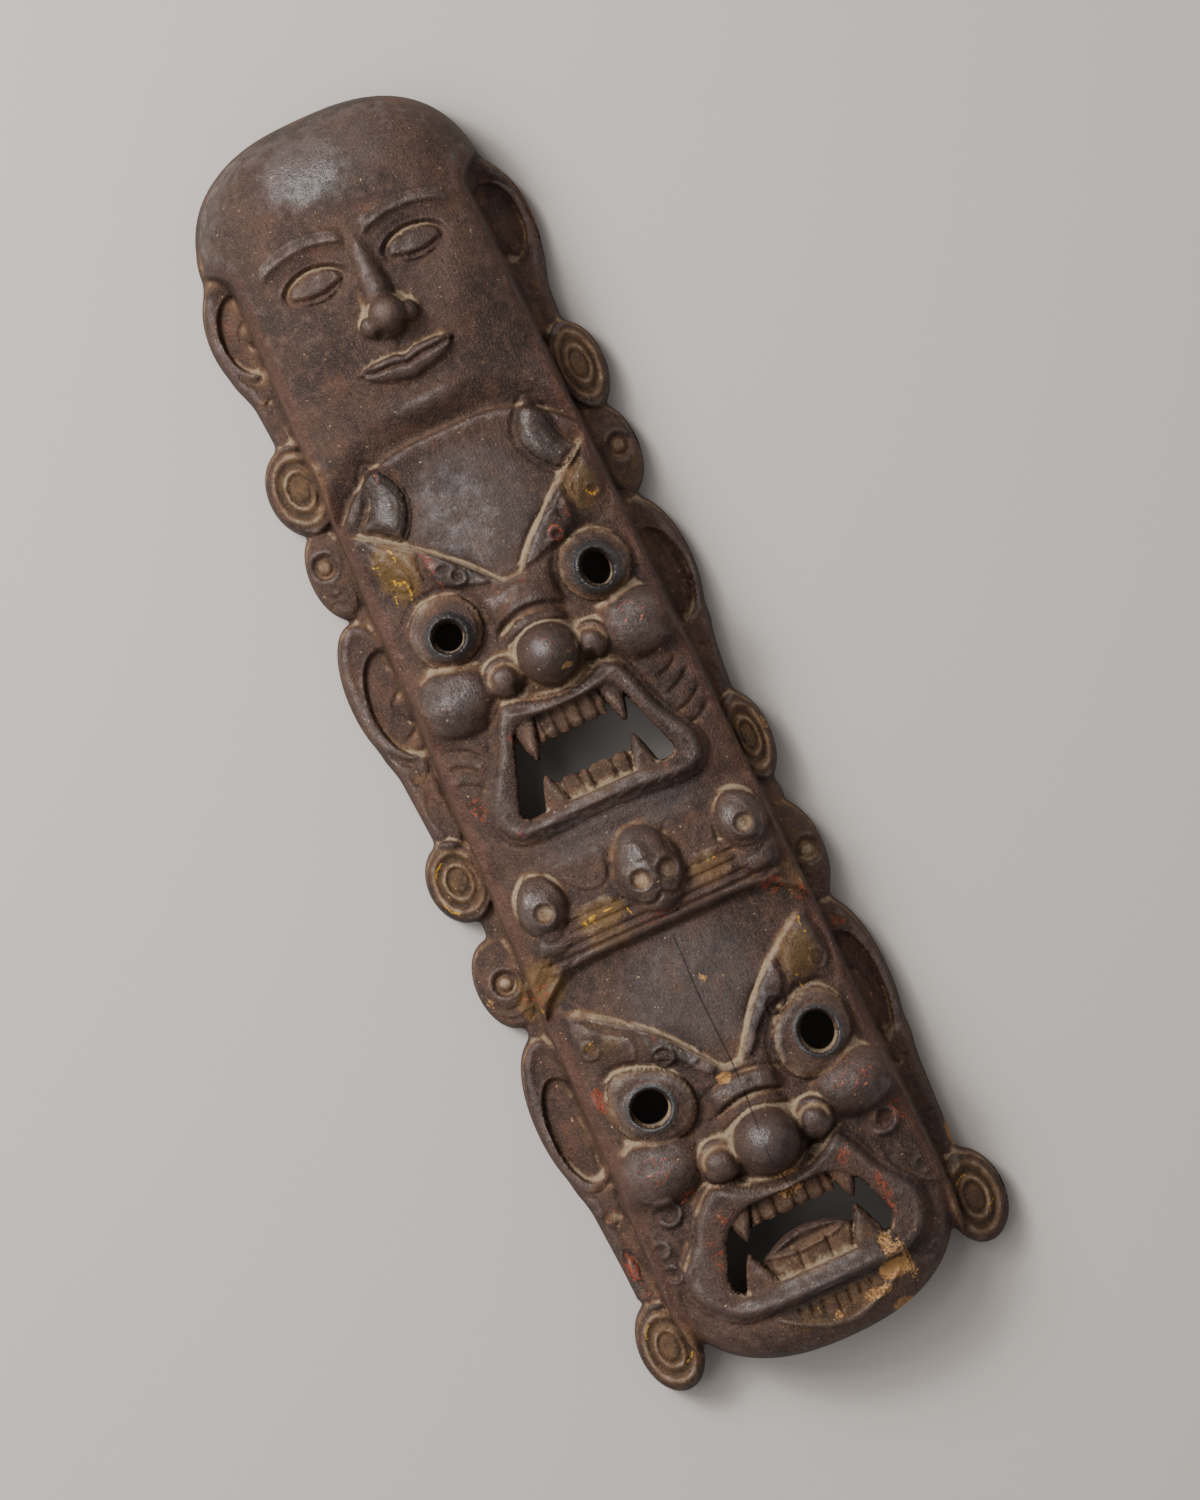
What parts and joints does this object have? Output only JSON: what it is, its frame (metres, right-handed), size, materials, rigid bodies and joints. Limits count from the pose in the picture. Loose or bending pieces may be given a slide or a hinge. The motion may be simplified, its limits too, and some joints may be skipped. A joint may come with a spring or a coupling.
{
  "type": "carved mask",
  "caption": "Long carved wooden dance mask: faces set one above another with pierced eyes and mouths, long ears with round discs, and a hollow back.",
  "frame": {"origin": "centre of the outline at the plane that the back rim lies on", "axes": "+Z the way the faces look, +Y from the chin of the lowest face to the crown of the bald head, +X to the right as one looks at the faces"},
  "size_m": [0.1974, 0.65, 0.0909],
  "materials": {
    "painted_wood": "worn dark paint and smoke patina over carved wood, with yellow, ochre and red rubbed traces and a dull sheen"
  },
  "bodies": {
    "root": {"three_faced_mask": "painted_wood"}
  },
  "joints": []
}
